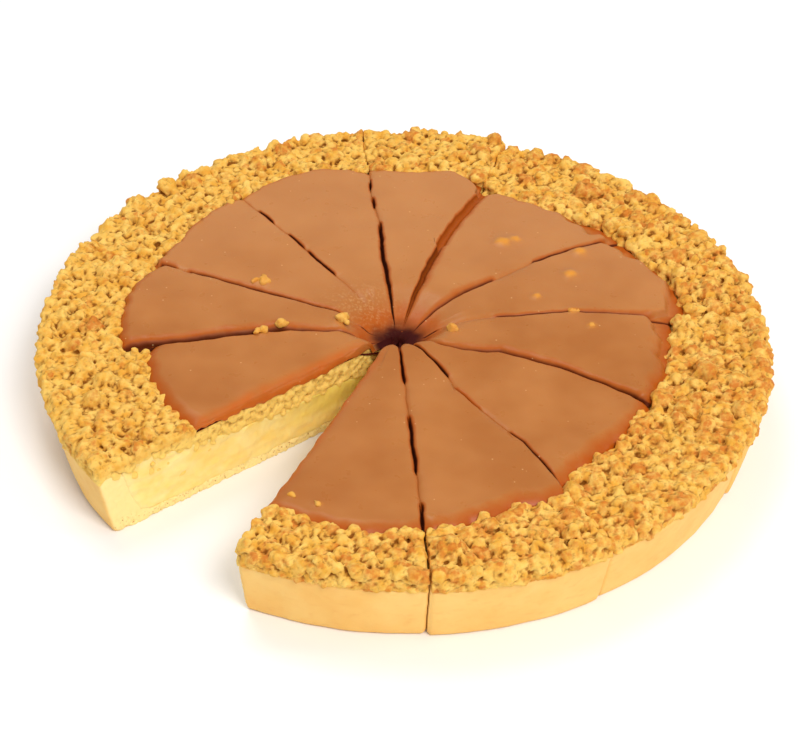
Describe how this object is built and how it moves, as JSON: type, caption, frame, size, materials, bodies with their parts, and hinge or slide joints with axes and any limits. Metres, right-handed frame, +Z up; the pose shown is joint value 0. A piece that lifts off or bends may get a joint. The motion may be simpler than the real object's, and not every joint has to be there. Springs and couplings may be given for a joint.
{
  "type": "apple cake",
  "caption": "Round sliced apple cake: pastry shell, apple filling, caramel top and a heaped crumble rim, with one slice missing.",
  "frame": {"origin": "centre of the cake's box on the plane it rests on", "axes": "+Z up through the cake; -Y is the front, where the picture's camera stands; +X is the right of that view"},
  "size_m": [0.2852, 0.2844, 0.0399],
  "materials": {
    "crust": "baked shortcrust pastry, matte, pale gold",
    "filling": "soft cooked apple filling, pale yellow, moist",
    "crumble": "baked butter crumble, rough, golden with toasted tips",
    "caramel": "poured caramel, smooth with a soft gloss"
  },
  "bodies": {
    "root": {"crust_01": "crust", "filling_01": "filling", "crumble_01": "crumble", "caramel_01": "caramel", "crust_02": "crust", "filling_02": "filling", "crumble_02": "crumble", "caramel_02": "caramel", "crust_03": "crust", "filling_03": "filling", "crumble_03": "crumble", "caramel_03": "caramel", "crust_04": "crust", "filling_04": "filling", "crumble_04": "crumble", "caramel_04": "caramel", "crust_05": "crust", "filling_05": "filling", "crumble_05": "crumble", "caramel_05": "caramel", "crust_06": "crust", "filling_06": "filling", "crumble_06": "crumble", "caramel_06": "caramel", "crust_07": "crust", "filling_07": "filling", "crumble_07": "crumble", "caramel_07": "caramel", "crust_08": "crust", "filling_08": "filling", "crumble_08": "crumble", "caramel_08": "caramel", "crust_09": "crust", "filling_09": "filling", "crumble_09": "crumble", "caramel_09": "caramel", "crust_10": "crust", "filling_10": "filling", "crumble_10": "crumble", "caramel_10": "caramel", "crust_11": "crust", "filling_11": "filling", "crumble_11": "crumble", "caramel_11": "caramel"}
  },
  "joints": []
}
